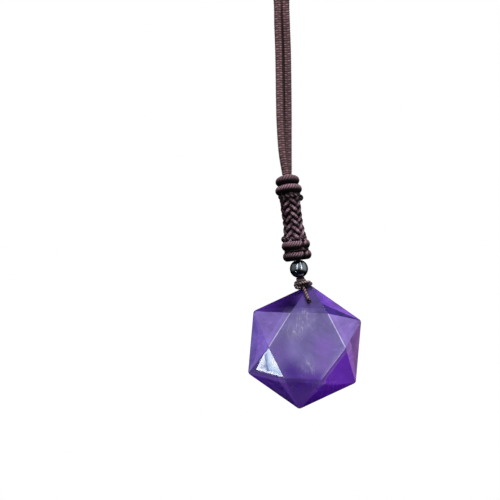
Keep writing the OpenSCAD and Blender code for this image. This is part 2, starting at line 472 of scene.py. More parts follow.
def braided_cord_section(path, pitch):
    """A round braid: ribs that zigzag around it, column by column, none quite like the next."""
    def section(around, far):
        column = around * BRAID_COLUMNS
        swell = np.sin(np.pi * (column % 1)) ** 0.6
        relief = (0.75 + 0.25 * swell) * ribs(far, pitch)
        uneven = 0.88 + 0.12 * np.sin(2.4 * np.floor(far / pitch) + 1.7 * np.floor(column))
        shade = strand_crevice(path, around, far)
        full = BRAID_R - BRAID_DEPTH * (1 - relief) * (1 - shade)
        height = (0.3 + 0.7 * relief) * uneven * (1 - shade)
        slide = BRAID_SLANT * (np.abs((column % 2) - 1) - 0.5) + 0.06 * np.sin(1.9 * far)
        angle = 2 * np.pi * around
        return full * np.cos(angle), full * np.sin(angle), slide, height
    return section


def make_neck_cord():
    front = bight_side(-1) + strand_in_sleeve(-1) + FRONT_STRAND + neck_side(-1)
    back = bight_side(1) + strand_in_sleeve(1) + BACK_STRAND + neck_side(1)
    bottom = on_sleeve(0, 0, BIGHT_DOWN + BIGHT_R)
    path = lay_path([bottom] + front + [(0, 0, CORD_R)] + list(reversed(back)), closed=True)
    count = round(path["length"] / BRAID_RIB)
    bm = bmesh.new()
    sweep(bm, path, CORD_SIDES, RIB_ROWS * count, braided_cord_section(path, path["length"] / count))
    finish_piece("neck_cord_braid", bm, "cord", ["neck_cord"], cord_yarn)


make_neck_cord()


# Wraps: a ribbed cord, drawn a little fuller than its solid
WRAP_SWELL = 0.03
WRAP_RIB = 0.66
WRAP_GROOVE = 0.14
WRAP_SLANT = 0.7
# Each turn: outer radius, distance down, bore, tone, its front's lift, and where its ends meet if they show.
# The tones are painted light and shade that make some turns of the one cord darker and one lighter
ENDS_MEET = math.radians(38)
WRAPS = {
    "upper_wrap_1": (4.0, 1.42, UPPER_BORE_R, 0.72, -0.35, None),
    "lower_wrap_1": (4.75, 23.62, LOWER_BORE_R, 0.93, 0, ENDS_MEET),
    "upper_wrap_2": (4.45, 4.75, UPPER_BORE_R, 1.12, 0, None),
    "lower_wrap_2": (4.8, 27.12, LOWER_BORE_R, 0.86, 0, ENDS_MEET),
}
# Between the lower wraps: the cord that leads from one to the next, and a thin turn beneath them. Each has
# a radius, a tone, whether it closes, and places by degrees around, distance from the axis and down
WRAP_LINKS = (
    (0.85, 0.7, False, [(56, 3.0, 24.5), (64, 3.3, 25.0), (72, 3.3, 25.6), (80, 3.0, 26.2)]),
    (0.72, 0.62, True, [(turn, 3.4, 25.37) for turn in range(0, 360, 15)]),
)


def wrap_section(path, radius, tallness, flat_at, pitch, tone, dome=None):
    """A round cord with slanted ribs, pressed flat at a distance from its middle against what it binds."""
    def section(around, far):
        angle = 2 * np.pi * around
        height = ribs(far, pitch)
        full = radius - WRAP_GROOVE + WRAP_GROOVE * height
        # Painted shade: the colour darkens towards the underside of each turn
        height = tone * height * (1 - 0.85 * np.clip((np.sin(angle) + 0.15) / 0.5, 0, 1))
        slide = -WRAP_SLANT * np.sin(angle)
        if dome:
            share = domed(path, far, dome)
            full = full * share
            slide = slide * share
        out = np.maximum(full * np.cos(angle), flat_at)
        return out, tallness * full * np.sin(angle), slide, height
    return section


def away_from_sleeve(line):
    """Directions away from the sleeve's axis at each point of a line."""
    axis = np.array([math.sin(SLEEVE_LEAN), 0, -math.cos(SLEEVE_LEAN)])
    from_top = line - SLEEVE_TOP
    return from_top - (from_top @ axis)[:, None] * axis


def closed_turn(ring_r, down, lift):
    """Places of a turn whose ends are hidden, which rises at the front and sags at its sides."""
    points = []
    for turn in np.linspace(0, 2 * np.pi, 49)[:-1]:
        rise = lift + 0.3 * math.cos(turn) - 0.35 * math.sin(turn) ** 2
        points.append(around_sleeve(turn, ring_r, down - rise))
    return points


def open_turn(ring_r, down, start):
    """Places of a turn whose first end bends up and whose last end bends down."""
    points = []
    for i, turn in enumerate(start + np.linspace(0.05, 2 * np.pi - 0.1, 48)):
        rise = 0.22 * math.exp(-((i / 5) ** 2)) - 0.22 * math.exp(-(((47 - i) / 5) ** 2))
        points.append(around_sleeve(turn, ring_r, down - rise))
    return points


def add_turn(bm, points, closed, sides, radius, tallness, flat_at, tone, dome=None):
    path = lay_path(points, closed, away_from_sleeve)
    count = round(path["length"] / WRAP_RIB)
    section = wrap_section(path, radius, tallness, flat_at, path["length"] / count, tone, dome)
    sweep(bm, path, sides, RIB_ROWS * count, section)


def make_wrap(node, outer, down, bore, tone, lift, ends_meet, links):
    ring_r = outer - WRAP_R
    bm = bmesh.new()
    if ends_meet is None:
        points = closed_turn(ring_r, down, lift)
        add_turn(bm, points, True, CORD_SIDES, WRAP_R + WRAP_SWELL, 1.05, bore - ring_r, tone)
    else:
        points = open_turn(ring_r, down, ends_meet)
        add_turn(bm, points, False, CORD_SIDES, WRAP_R + WRAP_SWELL, 1.12, bore - ring_r, tone, dome=0.8)
    for radius, link_tone, closed, places in links:
        points = [around_sleeve(math.radians(turn), out, low) for turn, out, low in places]
        add_turn(bm, points, closed, THREAD_SIDES, radius, 1, -radius, link_tone)
    finish_piece(f"{node}_cord", bm, "cord", [node], wrap_yarn)


for node, sizes in WRAPS.items():
    make_wrap(node, *sizes, links=WRAP_LINKS if node == "lower_wrap_2" else ())


# Woven sleeve: eight strands each way, over two and under two
WEAVE_STRANDS = 8
# Distance down in which a strand crosses to its neighbour's place
WEAVE_PITCH = 2.45
WEAVE_FRONT = math.radians(2)
# How far the strands' middles lie inside the sleeve's outline, and rise and sink from there
WEAVE_INSET = 0.85
WEAVE_LIFT = 0.44
WEAVE_HALF_THICK = 0.52
WEAVE_HALF_WIDE = 0.74
WEAVE_GROOVE = 0.05
WEAVE_RIB = 0.5
# How far they run on above the sleeve's top and below its end, under the wraps
WEAVE_ABOVE = 0.5
WEAVE_BELOW = 0.3
# Collars at the sleeve's ends: distance down, distance from the axis, tone
COLLARS = ((SLEEVE_DOWN + 0.8, 3.25, 1.05), (SLEEVE_DOWN + SLEEVE_L - 0.75, 3.45, 0.75))
COLLAR_STROKES = 15
# Small bights that stick out at its sides: degrees around, distance from the axis and down
STUBS = ((84, 4.05, 8.1), (-92, 4.1, 21.2))
# Shape of each, from its tip: turn in radians, distance outwards and down
STUB_SHAPE = ((-0.25, -1.2, -0.6), (0, -0.3, -0.5), (0.1, 0, 0), (0, -0.3, 0.5), (-0.25, -1.2, 0.6))


def sleeve_radius(down):
    shares, radii = zip(*SLEEVE_PROFILE)
    return float(np.interp((down - SLEEVE_DOWN) / SLEEVE_L, shares, radii))


def add_weave_strand(bm, number, hand):
    """hand is 1 for a strand that runs down to the right, and -1 for one to the left."""
    spacing = 2 * math.pi / WEAVE_STRANDS
    start = SLEEVE_DOWN - WEAVE_ABOVE
    end = SLEEVE_DOWN + SLEEVE_L + WEAVE_BELOW
    points = []
    lifts = []
    for down in np.linspace(start, end, 60):
        wander = 0.035 * math.sin(2.3 * number + 1.1 * down + hand)
        turn = WEAVE_FRONT + number * spacing + hand * (down - start) * spacing / WEAVE_PITCH + wander
        line = (turn - WEAVE_FRONT) * WEAVE_STRANDS / math.pi
        lifts.append(hand * math.tanh(1.5 * math.cos(math.pi * (line - 0.5) / 2)))
        swell = 0.1 * math.sin(3.1 * number * hand + 1.7 * down) + 0.05 * math.sin(2 * number + 5 * down)
        out = sleeve_radius(down) - WEAVE_INSET + WEAVE_LIFT * lifts[-1] + swell
        points.append(around_sleeve(turn, out, down))
    path = lay_path(points, facing=away_from_sleeve)

    def section(around, far):
        angle = 2 * np.pi * around
        rib = ribs(far, WEAVE_RIB)
        over = np.interp(far, np.linspace(0, path["length"], len(lifts)), lifts)
        # Painted shade: the colour darkens on each strand's sides and inner face, and where it passes under
        # its neighbours
        outer = np.clip(0.45 + 0.55 * np.cos(angle), 0, 1)
        height = outer * (0.6 + 0.4 * over) * (0.7 + 0.3 * rib)
        out = (WEAVE_HALF_THICK - WEAVE_GROOVE * (1 - rib)) * np.cos(angle)
        wide = (WEAVE_HALF_WIDE - WEAVE_GROOVE * (1 - rib)) * np.sin(angle)
        return out, wide, 0.1 * np.cos(2 * angle), height

    sweep(bm, path, PLAIT_SIDES, RIB_ROWS * round(path["length"] / WEAVE_RIB), section)


def add_collar(bm, down, radius, tone):
    """A thin cord with short slanted strokes, laid around the sleeve's end."""
    turns = np.linspace(0, 2 * math.pi, 33)[:-1]
    path = lay_path([around_sleeve(turn, radius, down) for turn in turns], True, away_from_sleeve)
    pitch = path["length"] / COLLAR_STROKES

    def section(around, far):
        angle = 2 * np.pi * around
        stroke = np.abs(np.sin(np.pi * far / pitch)) ** 0.7
        # Painted shade: the colour darkens on the collar's inner side and between its strokes
        height = tone * np.clip(0.55 + 0.45 * np.cos(angle), 0, 1) * (0.3 + 0.62 * stroke)
        out = (0.35 + 0.2 * stroke) * np.cos(angle)
        wide = (0.55 + 0.25 * stroke) * np.sin(angle)
        return out, wide, 0.5 * np.sin(angle), height

    sweep(bm, path, PLAIT_SIDES, 2 * RIB_ROWS * COLLAR_STROKES, section)


def add_stub(bm, degrees, radius, down):
    """A cord that comes out of the sleeve in a small bight."""
    a = math.radians(degrees)
    points = [around_sleeve(a + turn, radius + out, down + low) for turn, out, low in STUB_SHAPE]
    path = lay_path(points, facing=away_from_sleeve)

    def section(around, far):
        angle = 2 * np.pi * around
        rib = ribs(far, WEAVE_RIB)
        full = (0.5 + 0.06 * rib) * domed(path, far, 0.3)
        return full * np.cos(angle), full * np.sin(angle), 0 * far, 0.2 + 0.35 * rib

    sweep(bm, path, PLAIT_SIDES, RIB_ROWS * round(path["length"] / WEAVE_RIB), section)


def make_sleeve():
    bm = bmesh.new()
    for number in range(WEAVE_STRANDS):
        for hand in (1, -1):
            add_weave_strand(bm, number, hand)
    for collar in COLLARS:
        add_collar(bm, *collar)
    for stub in STUBS:
        add_stub(bm, *stub)
    finish_piece("woven_sleeve_plait", bm, "cord", ["woven_sleeve"], sleeve_yarn)


make_sleeve()


# Thread: two plies twisted together, with how far apart the places along it and its rows are
THREAD_STEP = 0.02
LOOP_ROW = 0.12
KNOT_ROW = 0.1
# How far to either side of its turn the stone's thread is fuller, where it fills the hole and its colour is
# painted dark as the hole's shade
PACKED_REACH = 2.4
# Turns of the knot around the threads: radius, distance down, drop to the right and to the back, shade,
# which is painted shade, darkest on the turn right under the bead
KNOT_TURNS = ((0.92, -1.3, 0.1, 0, 0.12), (1.22, -0.42, 0.12, 0.1, 1), (1.2, 0.28, -0.22, 0.1, 1))
KNOT_TURN_R = 0.5
KNOT_TURN_STROKES = 16
KNOT_STRAND_R = 0.54
KNOT_STRAND_PITCH = 0.8
# Strands across the knot's front, two of them the thread's ends: shade, places. Those with a shade under 1
# are dimmed as painted shade, dark strands that fill the knot's gaps
KNOT_STRANDS = (
    (1, [(11.2, -1.6, -332.4), (12.3, -2.0, -332.2), (13.7, -2.1, -331.85), (14.9, -1.95, -331.65),
         (15.5, -1.7, -331.6)]),
    (1, [(14.3, -1.2, -331.0), (13.2, -1.6, -331.15), (12.0, -1.8, -331.3), (11.1, -1.9, -331.85),
         (10.9, -1.9, -332.8), (11.3, -1.9, -333.5), (12.1, -1.85, -333.65), (12.75, -1.7, -333.3)]),
    (0.4, [(14.4, -1.0, -331.7), (15.5, -1.2, -331.7), (16.1, -1.3, -332.2), (15.6, -1.4, -332.6),
           (14.6, -1.45, -332.5), (13.6, -1.3, -332.5)]),
    (1, [(11.2, -1.2, -332.9), (12.0, -1.3, -333.0), (12.9, -1.2, -333.0)]),
    (0.4, [(13.8, -0.8, -332.1), (14.9, -0.9, -332.15), (15.9, -0.9, -332.2)]),
    (0.4, [(12.2, -1.3, -333.6), (13.3, -1.4, -333.3), (14.2, -1.4, -333.0), (15.0, -1.4, -332.9)]),
)


def twisted_thread_section(path, radius, pitch, dome=None, packed=0, shade=1):
    """packed is how much fuller the thread is where it fills a hole, where its colour is painted dark as the
    hole's shade, and shade scales its tone: painted shade for threads in the bead's shadow and in the knot's
    gaps.
    """
    def section(around, far):
        angle = 2 * np.pi * around
        lobes = np.abs(np.cos(angle - 2 * np.pi * far / (2 * pitch)))
        height = shade * lobes**0.8
        full = radius * (0.62 + 0.4 * lobes**0.8)
        if packed:
            # Painted shade: the thread is darkest where it fills the hole
            inside = np.exp(-(((far - path["length"] / 2) / PACKED_REACH) ** 4))
            full = full * (1 + packed * inside)
            height = height * (1 - inside)
        if dome:
            full = full * domed(path, far, dome)
        return full * np.cos(angle), full * np.sin(angle), 0 * far, height
    return section


def upper_leg(side):
    leg = [on_sleeve(0, side * out, down) for out, down in BIGHT_LOOP]
    return leg + [on_knot(0, side * out, down) for out, down in KNOT_ENTRY]


def lower_leg(side):
    return [on_leg(up, side * out) for up, out in STONE_LOOP]


def make_thread_loop(name, node, leg, turning_place, radius, pitch, packed=0):
    """leg gives the places of either leg, from where the loop turns to the knot."""
    bm = bmesh.new()
    path = lay_path(list(reversed(leg(-1))) + [turning_place] + leg(1), step=THREAD_STEP)
    section = twisted_thread_section(path, radius, pitch, dome=0.3, packed=packed)
    sweep(bm, path, THREAD_SIDES, round(path["length"] / LOOP_ROW), section)
    finish_piece(name, bm, "cord", [node], thread_yarn)


def add_knot_turn(bm, radius, down, tip, roll, shade):
    points = []
    for turn in np.linspace(0, 2 * math.pi, 25)[:-1]:
        x = radius * math.sin(turn)
        y = -radius * math.cos(turn)
        points.append(on_knot(x, y, down + tip * x + roll * y))
    path = lay_path(points, closed=True, step=THREAD_STEP)
    section = twisted_thread_section(path, KNOT_TURN_R, path["length"] / KNOT_TURN_STROKES, shade=shade)
    sweep(bm, path, THREAD_SIDES, round(path["length"] / KNOT_ROW), section)


def make_knot():
    bm = bmesh.new()
    for turn in KNOT_TURNS:
        add_knot_turn(bm, *turn)
    for shade, points in KNOT_STRANDS:
        path = lay_path(points, step=THREAD_STEP)
        section = twisted_thread_section(path, KNOT_STRAND_R, KNOT_STRAND_PITCH, dome=0.25, shade=shade)
        sweep(bm, path, THREAD_SIDES, round(path["length"] / KNOT_ROW), section)
    finish_piece("tie_knot_turns", bm, "cord", ["tie_knot"], knot_yarn_painted_lighter)


make_thread_loop(
    "bead_thread_loop", "bead_thread", upper_leg, on_sleeve(0, 0, BIGHT_LOOP_TOP), radius=0.42, pitch=0.8,
)
make_thread_loop(
    "stone_thread_loop", "stone_thread", lower_leg, STONE_HOLE, radius=0.54, pitch=0.95, packed=0.45,
)
make_knot()


# Bead: a polished ball with softened hole rims, whose upper half's shine loses a share of its roundness
RIM_SOFTENING = 0.18
BARREL_SHARE = 0.45
BEAD_MIDDLE = Vector(on_sleeve(0, 0, BEAD_DOWN) * MM)


def bead_mesh():
    bm = bmesh.new()
    low = math.asin((BEAD_BORE_R + RIM_SOFTENING) / BEAD_R)
    turns = np.linspace(low, math.pi - low, 40)
    rim = [(BEAD_R * math.sin(a), BEAD_R * math.cos(a)) for a in turns]
    top = rim[0][1]
    inner = [(BEAD_BORE_R, -top + RIM_SOFTENING), (BEAD_BORE_R, 0), (BEAD_BORE_R, top - RIM_SOFTENING)]
    outline = rim + [(BEAD_BORE_R + 0.05, -top + 0.04)] + inner + [(BEAD_BORE_R + 0.05, top - 0.04)]
    verts = [bm.verts.new((x * MM, 0, z * MM)) for x, z in outline]
    edges = [bm.edges.new(ends) for ends in zip(verts, verts[1:] + verts[:1])]
    bmesh.ops.spin(
        bm, geom=verts + edges, cent=(0, 0, 0), axis=(0, 0, 1), angle=2 * math.pi, steps=72, use_merge=True,
    )
    bmesh.ops.remove_doubles(bm, verts=bm.verts, dist=SAME_PLACE * MM)
    place = Matrix.Translation(BEAD_MIDDLE) @ Matrix.Rotation(-SLEEVE_LEAN, 4, "Y")
    bmesh.ops.transform(bm, matrix=place, verts=bm.verts)
    return bm


def black_stone():
    material, tree, shader = new_material("polished_black_stone")
    place = add_node(tree, "TexCoord").outputs["Object"]
    grain = noise(place, scale=900.0, detail=4.0)
    scuffs = noise(place, scale=2600.0, detail=2.0)
    set_inputs(shader, {
        "Base Color": ramp(grain, [(0.3, (0.35, 0.4, 0.45)), (0.75, (0.42, 0.48, 0.54))]),
        "Roughness": ramp(scuffs, [(0.35, 0.16), (0.75, 0.26)]),
        "Metallic": 1.0,
    })
    return material


def barrel_shine(mesh):
    """The upper half of the bead mirrors as a barrel does, so that the lights' streaks reach its top."""
    axis = Vector((-math.sin(SLEEVE_LEAN), 0, math.cos(SLEEVE_LEAN)))
    normals = []
    for loop in mesh.loops:
        vertex = mesh.vertices[loop.vertex_index]
        way = vertex.co - BEAD_MIDDLE
        up = way.dot(axis)
        if way.length > (BEAD_R - 0.05) * MM and up > 0:
            normals.append((way - BARREL_SHARE * up * axis).normalized())
        else:
            normals.append(vertex.normal.copy())
    mesh.normals_split_custom_set(normals)


bead = finish_piece("bead_ball", bead_mesh(), "cord", ["bead"], black_stone())
barrel_shine(bead.data)


# Stone: its facets carry their own tones, which run from corner to corner: partly the stone's colour zoning
# and partly painted light and shade, each facet as bright or dark as the light makes it
TABLE_TONE = (0.27, 0.225, 0.53)
# Facets between a table's edge and a corner, from the top corner clockwise
CORNER_TONES = (
    (0.058, 0.037, 0.165), (0.24, 0.155, 0.5), (0.26, 0.06, 0.72), (0.14, 0.05, 0.4), (0.17, 0.11, 0.44),
    (0.22, 0.148, 0.48),
)
# Facets along the outline: at the table, at the corner before and at the corner after
EDGE_TONES = (
    ((0.08, 0.022, 0.27), (0.09, 0.03, 0.3), (0.24, 0.08, 0.57)),
    ((0.38, 0.15, 0.72), (0.85, 0.36, 0.97), (0.9, 0.4, 0.94)),
    ((0.42, 0.045, 0.98), (0.5, 0.08, 0.98), (0.15, 0.02, 0.5)),
    ((0.42, 0.16, 0.95), (0.1, 0.03, 0.36), (0.36, 0.13, 0.9)),
    ((0.25, 0.145, 0.7), (0.35, 0.25, 0.8), (0.26, 0.17, 0.72)),
    ((0.003, 0.0005, 0.014), (0.045, 0.013, 0.16), (0.008, 0.002, 0.035)),
)
# A darker wedge inside the upper right facet: where it starts along the facet's inner edge, and its tone
WEDGE_SHARE = 0.33
WEDGE_TONE = (0.014, 0.001, 0.1)
GIRDLE_TONE = (0.03, 0.012, 0.1)
# Table edges with a painted highlight where they catch the light, and one with a weak one, by the corner
# they face
HIGHLIGHT_LINES = (1, 2, 5)
HIGHLIGHT_TONE = (0.85, 0.8, 1.0)
SOFT_HIGHLIGHT_LINE = 3
SOFT_HIGHLIGHT_TONE = (0.32, 0.19, 0.66)
# Softening of the six edges across the girdle, and of all edges sharper than an angle
CORNER_SOFTENING = 0.7
EDGE_SOFTENING = 0.25
SHARP = math.radians(18)
# Faces larger than this, in square millimetres, stay flat
FLAT_AREA = 1.5
# Clouds inside the stone, seen from the front, partly its colour zoning and partly painted light and shade:
# place, reach, share and tone
CLOUD_SPOTS = (
    (20.5, -353, 6, 0.8, (0.38, 0.19, 0.76)), (5.5, -354.5, 6, 0.55, (0.27, 0.14, 0.62)),
    (12.5, -363.5, 8, 0.95, (0.1, 0.03, 0.38)), (26.5, -366, 7, 0.5, (0.34, 0.08, 0.75)),
    (14.5, -370.5, 6, 0.5, (0.2, 0.13, 0.45)), (10, -346, 7, 0.4, (0.33, 0.29, 0.6)),
    (17, -364, 5, 0.8, (0.17, 0.06, 0.5)), (9, -361, 6.5, 0.9, (0.075, 0.02, 0.32)),
    (13.2, -333.8, 7, 1, (0.14, 0.06, 0.43)), (20, -359, 5, 0.8, (0.36, 0.2, 0.68)),
    (15, -362.5, 6, 0.45, (0.12, 0.03, 0.42)), (18, -365, 6, 0.7, (0.11, 0.03, 0.4)),
    (7.5, -358, 4.5, 0.45, (0.15, 0.08, 0.4)), (7.2, -336.8, 7, 0.97, (0.002, 0.0004, 0.012)),
)
# White veils: place, reach and share
VEIL_SPOTS = (
    (10.7, -348, 4.5, 1), (14.5, -344.5, 5, 0.9), (15, -359.5, 5, 0.75), (19, -368, 5, 0.7),
    (5, -370, 9, 0.3), (24, -367, 7, 0.4), (29, -338, 7, 0.3),
)
VEIL_TONE = (0.9, 0.87, 1.0)
QUARTZ_IOR = 1.54


def cut_corner(degrees, reach):
    """A corner of the upright stone's cut: right and up from its middle."""
    a = math.radians(degrees)
    return reach * math.sin(a), reach * math.cos(a)


def beside_line(point, start, end):
    """Whether a point lies beside the middle part of a table's edge, seen from the front."""
    way = end - start
    flat = Vector((point.x, 0, point.z)) - start
    share = flat.dot(way) / way.length_squared
    return 0.02 < share < 0.98 and (flat - share * way).length < 0.3 * MM


def softened_tone(middle, table_edges):
    """Tone of a softened edge's face, which is a painted highlight on some table edges, or None where it
    keeps the facets' tones.
    """
    depth = abs(middle.y)
    if depth < (GIRDLE_W / 2 + EDGE_SOFTENING) * MM:
        return GIRDLE_TONE
    if depth > (STONE_T / 2 - 0.2) * MM:
        # Painted highlight on the table edges that catch the light
        if any(beside_line(middle, *table_edges[k]) for k in HIGHLIGHT_LINES):
            return HIGHLIGHT_TONE
        if beside_line(middle, *table_edges[SOFT_HIGHLIGHT_LINE]):
            return SOFT_HIGHLIGHT_TONE
    return None


def soften(bm, edges, offset, segments):
    """Bevels these edges and gives back the new faces."""
    return bmesh.ops.bevel(
        bm, geom=edges, offset=offset * MM, offset_type="OFFSET", affect="EDGES", segments=segments,
        profile=0.5, material=-1, clamp_overlap=True,
    )["faces"]


def stone_mesh():
    bm = bmesh.new()
    table = [cut_corner(*row) for row in TABLE_CUT]
    corners = [cut_corner(60 * k, STONE_R) for k in range(6)]
    layers = [(table, -STONE_T / 2), (corners, -GIRDLE_W / 2), (corners, GIRDLE_W / 2), (table, STONE_T / 2)]
    rows = [[bm.verts.new((x * MM, y * MM, z * MM)) for x, z in layer] for layer, y in layers]
    facet = bm.loops.layers.float_color.new("facet")

    def face(verts, *tones):
        """tones is one tone for the whole face or one for each corner."""
        made = bm.faces.new(verts)
        for number, loop in enumerate(made.loops):
            loop[facet] = (*tones[number % len(tones)], 1)

    front, lower, upper, back = rows
    face(front, TABLE_TONE)
    face(back[::-1], TABLE_TONE)
    for k in range(6):
        after = (k + 1) % 6
        inner, first, second = EDGE_TONES[k]
        face([front[k], lower[k], lower[after]], inner, first, second)
        face([front[k - 1], lower[k], front[k]], CORNER_TONES[k])
        face([back[k], upper[after], upper[k]], inner, second, first)
        face([back[k - 1], back[k], upper[k]], CORNER_TONES[k])
        face([lower[k], upper[k], upper[after], lower[after]], GIRDLE_TONE)
    for ring, rim in ((front, lower), (back, upper)):
        wedge_start = bmesh.utils.edge_split(bm.edges.get((ring[0], rim[0])), ring[0], WEDGE_SHARE)[1]
        whole = next(f for f in wedge_start.link_faces if rim[1] in f.verts)
        halves = [whole, bmesh.utils.face_split(whole, wedge_start, rim[1])[0]]
        for loop in next(f for f in halves if ring[0] in f.verts).loops:
            loop[facet] = (*WEDGE_TONE, 1)
    bmesh.ops.recalc_face_normals(bm, faces=bm.faces)
    soften(bm, [e for e in bm.edges if e.verts[0].co.y * e.verts[1].co.y < 0], CORNER_SOFTENING, 4)
    sharp = [e for e in bm.edges if e.calc_face_angle() > SHARP]
    table_edges = [[Vector((x * MM, 0, z * MM)) for x, z in (table[k - 1], table[k])] for k in range(6)]
    for narrow in soften(bm, sharp, EDGE_SOFTENING, 2):
        tone = softened_tone(narrow.calc_center_median(), table_edges)
        if tone:
            for loop in narrow.loops:
                loop[facet] = (*tone, 1)
    for v in bm.verts:
        v.co = on_stone(v.co.x / MM, v.co.y / MM, v.co.z / MM) * MM
    return bm


def violet_crystal():
    material, tree, shader = new_material("violet_crystal")
    place = add_node(tree, "TexCoord").outputs["Object"]

    def spot(x, z, reach, share):
        """share at a place of the stone's front, fading to 0 at reach."""
        middle = (x * MM, -STONE_T / 2 * MM, z * MM)
        away = add_node(tree, "VectorMath", {0: place, 1: middle}, operation="DISTANCE").outputs["Value"]
        fade = {"Value": away, "From Max": reach * MM, "To Min": share, "To Max": 0.0}
        return add_node(tree, "MapRange", fade, interpolation_type="SMOOTHSTEP").outputs["Result"]

    facet = add_node(tree, "Attribute", attribute_name="facet").outputs["Color"]
    clouds = noise(place, scale=110.0, detail=5.0, roughness=0.6, distortion=0.6)
    wisps = noise(place, scale=420.0, detail=6.0, roughness=0.7, distortion=1.2)
    toned = multiply(facet, ramp(clouds, [(0.3, 0.65), (0.7, 1.36)]))
    for x, z, reach, share, tone in CLOUD_SPOTS:
        toned = mix_colour(spot(x, z, reach, share), toned, tone)
    feather = add_node(tree, "Mapping", {"Vector": place, "Rotation": (0, 0.35, 0), "Scale": (1.3, 1, 0.5)})
    flecks = noise(feather.outputs["Vector"], scale=620.0, detail=8.0, roughness=0.72, distortion=1.2)
    streaks = ramp(flecks, [(0.48, 0.1), (0.55, 0.3), (0.64, 1.0)])
    for x, z, reach, share in VEIL_SPOTS:
        veil = add_node(tree, "Math", {0: streaks, 1: spot(x, z, reach, share)}, operation="MULTIPLY")
        toned = mix_colour(veil.outputs[0], toned, VEIL_TONE)
    set_inputs(shader, {
        "Base Color": multiply(toned, ramp(wisps, [(0.56, 1.0), (0.76, 1.6)])),
        "Roughness": ramp(wisps, [(0.35, 0.01), (0.7, 0.028)]),
        "Transmission Weight": ramp(clouds, [(0.3, 0.65), (0.7, 0.45)]),
        "IOR": QUARTZ_IOR,
    })
    return material


def drill_hole(piece):
    """Cuts the thread's hole from front to back."""
    bm = bmesh.new()
    radius = HOLE_D / 2 * MM
    depth = 2 * STONE_T * MM
    bmesh.ops.create_cone(bm, cap_ends=True, segments=48, radius1=radius, radius2=radius, depth=depth)
    bmesh.ops.rotate(bm, verts=bm.verts, matrix=Matrix.Rotation(math.pi / 2, 3, "X"))
    bmesh.ops.translate(bm, verts=bm.verts, vec=Vector(STONE_HOLE * MM))
    drill = add_piece("drill", bm)
    hole = piece.modifiers.new("hole", "BOOLEAN")
    hole.operation = "DIFFERENCE"
    hole.object = drill
    hole.solver = "EXACT"
    bpy.context.view_layer.update()
    drilled = bpy.data.meshes.new_from_object(piece.evaluated_get(bpy.context.evaluated_depsgraph_get()))
    piece.modifiers.clear()
    piece.data = drilled
    bpy.data.objects.remove(drill)


def facet_normals(mesh):
    """Large faces stay flat, the hole round, and small faces turn from one large face to the next."""
    axis = STONE_HOLE * MM
    widest = {}
    for polygon in mesh.polygons:
        for v in polygon.vertices:
            if v not in widest or polygon.area > widest[v].area:
                widest[v] = polygon
    normals = []
    for polygon in mesh.polygons:
        places = [mesh.vertices[v].co for v in polygon.vertices]
        from_axis = [Vector((axis[0] - p.x, 0, axis[2] - p.z)) for p in places]
        near_hole = all(d.length < (HOLE_D / 2 + 0.01) * MM for d in from_axis)
        in_hole = near_hole and abs(polygon.normal.y) < 0.5
        for v, inwards in zip(polygon.vertices, from_axis):
            if in_hole:
                normals.append(inwards.normalized())
            elif polygon.area > FLAT_AREA * MM**2:
                normals.append(polygon.normal.copy())
            else:
                normals.append(widest[v].normal.copy())
    mesh.normals_split_custom_set(normals)


crystal = violet_crystal()
stone = finish_piece("stone_crystal", stone_mesh(), "stone", ["stone"], crystal)
drill_hole(stone)
facet_normals(stone.data)


# Room: a pale floor well below the pendant, a white surround and soft lights, in metres
FLOOR_R = 0.9
FLOOR_Z = -0.56
VIEW_MIDDLE = Vector((-0.0042, 0, -0.321))
VIEW_BACK = 0.6
VIEW_WIDTH = 0.1667
SENSOR = 36
PENDANT_MIDDLE = Vector((0.012, 0, -0.335))
# The way that the stone's upper facets mirror, where the surround is dimmed
UPPER_FACETS_WAY = (0.45, -0.42, 0.78)
camera_place = VIEW_MIDDLE + Vector((0, -VIEW_BACK, 0))


def make_floor():
    bm = bmesh.new()
    bmesh.ops.create_circle(bm, cap_ends=True, segments=96, radius=FLOOR_R)
    bmesh.ops.translate(bm, verts=bm.verts, vec=(0, 0, FLOOR_Z))
    material, tree, shader = new_material("pale_floor")
    place = add_node(tree, "TexCoord").outputs["Object"]
    paper = noise(place, scale=40.0, detail=3.0)
    set_inputs(shader, {"Base Color": ramp(paper, [(0.3, 0.84), (0.7, 0.88)]), "Roughness": 0.8})
    stage_piece("floor", bm, material, "glossy")


